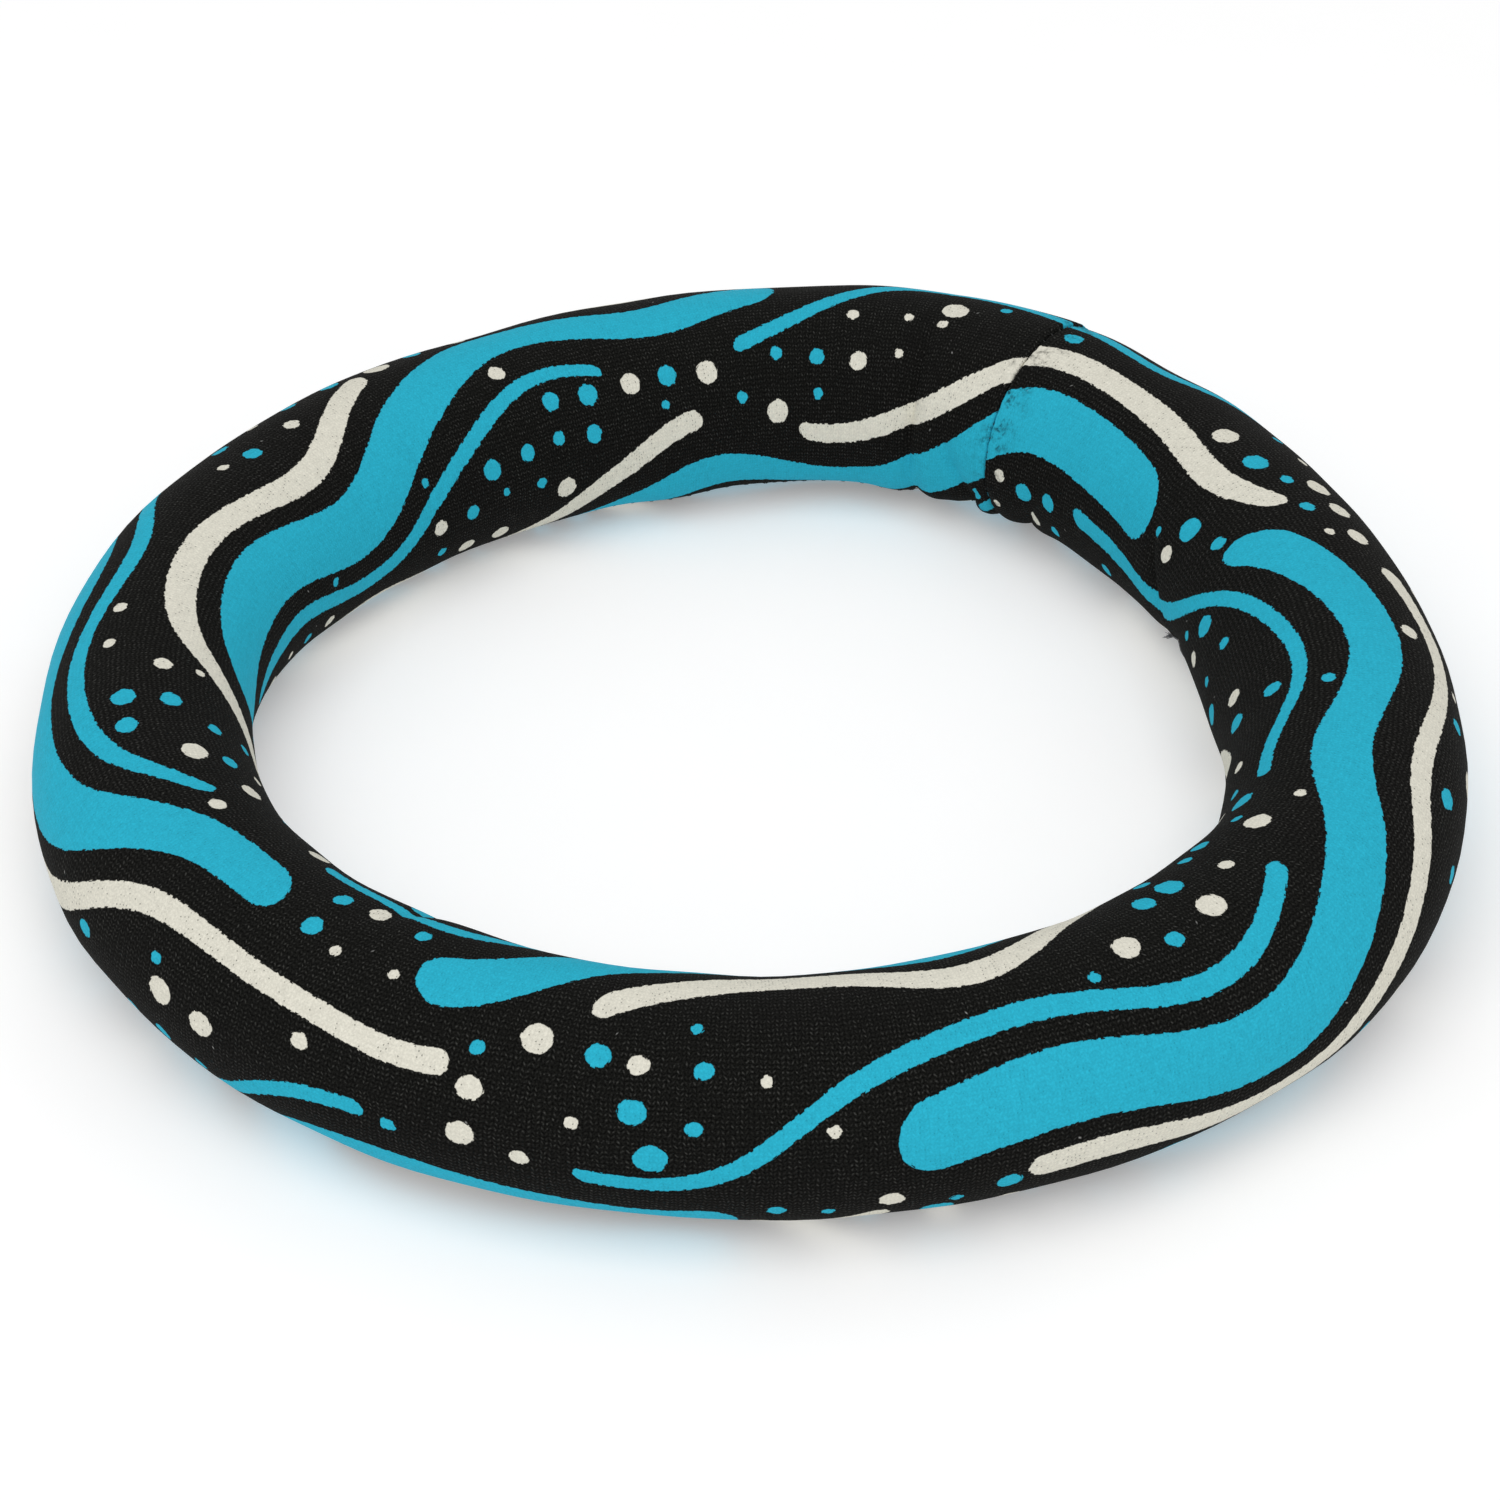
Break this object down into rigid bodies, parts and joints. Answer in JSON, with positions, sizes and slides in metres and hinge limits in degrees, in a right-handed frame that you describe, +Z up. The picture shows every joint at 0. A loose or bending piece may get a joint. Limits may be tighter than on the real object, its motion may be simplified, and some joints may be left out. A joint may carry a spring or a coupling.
{
  "type": "flying ring",
  "caption": "Soft throwing ring for lawn and beach games: a foam tube bent into a ring inside a sewn sleeve of printed knit-faced neoprene",
  "frame": {"origin": "middle of the ring's outline, on the surface that the ring lies on", "axes": "+Z up, square to the ring; -Y is the side nearest the viewer of the picture, +X is the viewer's right"},
  "size_m": [0.2526, 0.2493, 0.0387],
  "materials": {
    "printed_neoprene": "black knit-faced neoprene with a turquoise and cream print, matt",
    "core_foam": "closed-cell foam, matt grey",
    "plug_plastic": "natural plastic, satin",
    "sewing_thread": "black twisted polyester thread"
  },
  "bodies": {
    "root": {"neoprene_sleeve": "printed_neoprene", "foam_core": "core_foam", "core_plug": "plug_plastic", "seam_thread": "sewing_thread", "closure_thread": "sewing_thread", "thread_tail": "sewing_thread"}
  },
  "joints": []
}
